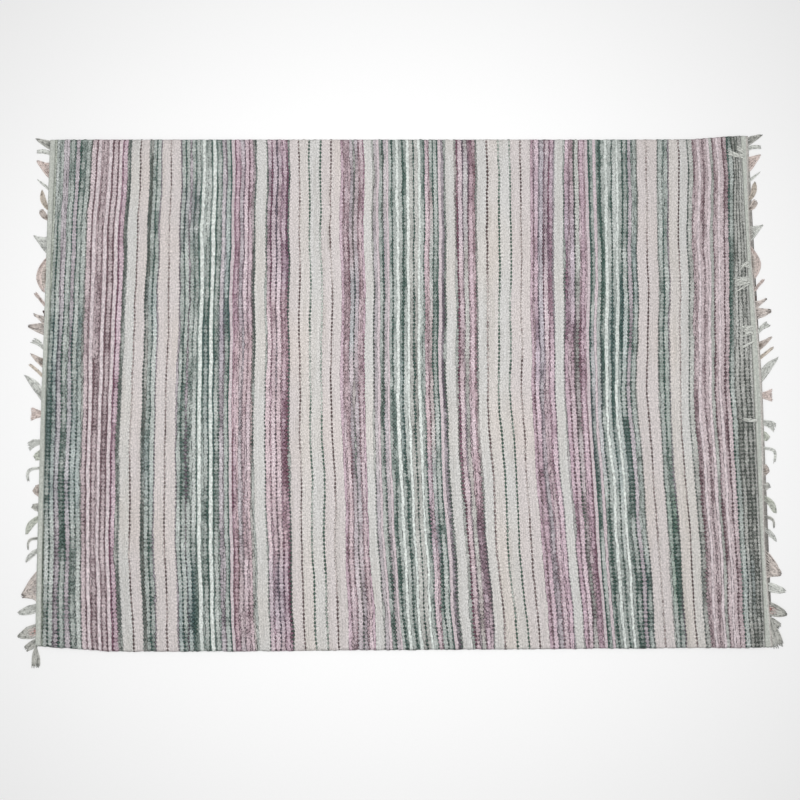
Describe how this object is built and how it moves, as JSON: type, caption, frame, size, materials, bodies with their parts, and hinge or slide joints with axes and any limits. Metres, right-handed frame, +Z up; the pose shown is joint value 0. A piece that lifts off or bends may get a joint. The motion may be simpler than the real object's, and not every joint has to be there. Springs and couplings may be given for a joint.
{
  "type": "kilim rug",
  "caption": "Flat-woven striped kilim rug with thick raised single cords, a header strip and a short uneven fringe at each end.",
  "frame": {"origin": "on the flat underside, in the middle of the woven cloth", "axes": "+X along the rug's length towards the right fringe, +Y across it, +Z up from the floor"},
  "size_m": [1.7976, 1.2793, 0.0086],
  "materials": {
    "woven_cloth": "matte cotton and chenille yarn, weft-faced plain weave",
    "cotton_fringe": "matte undyed cotton warp ends"
  },
  "bodies": {
    "root": {"rug_body": "woven_cloth", "fringe_left": "cotton_fringe", "fringe_right": "cotton_fringe"}
  },
  "joints": []
}
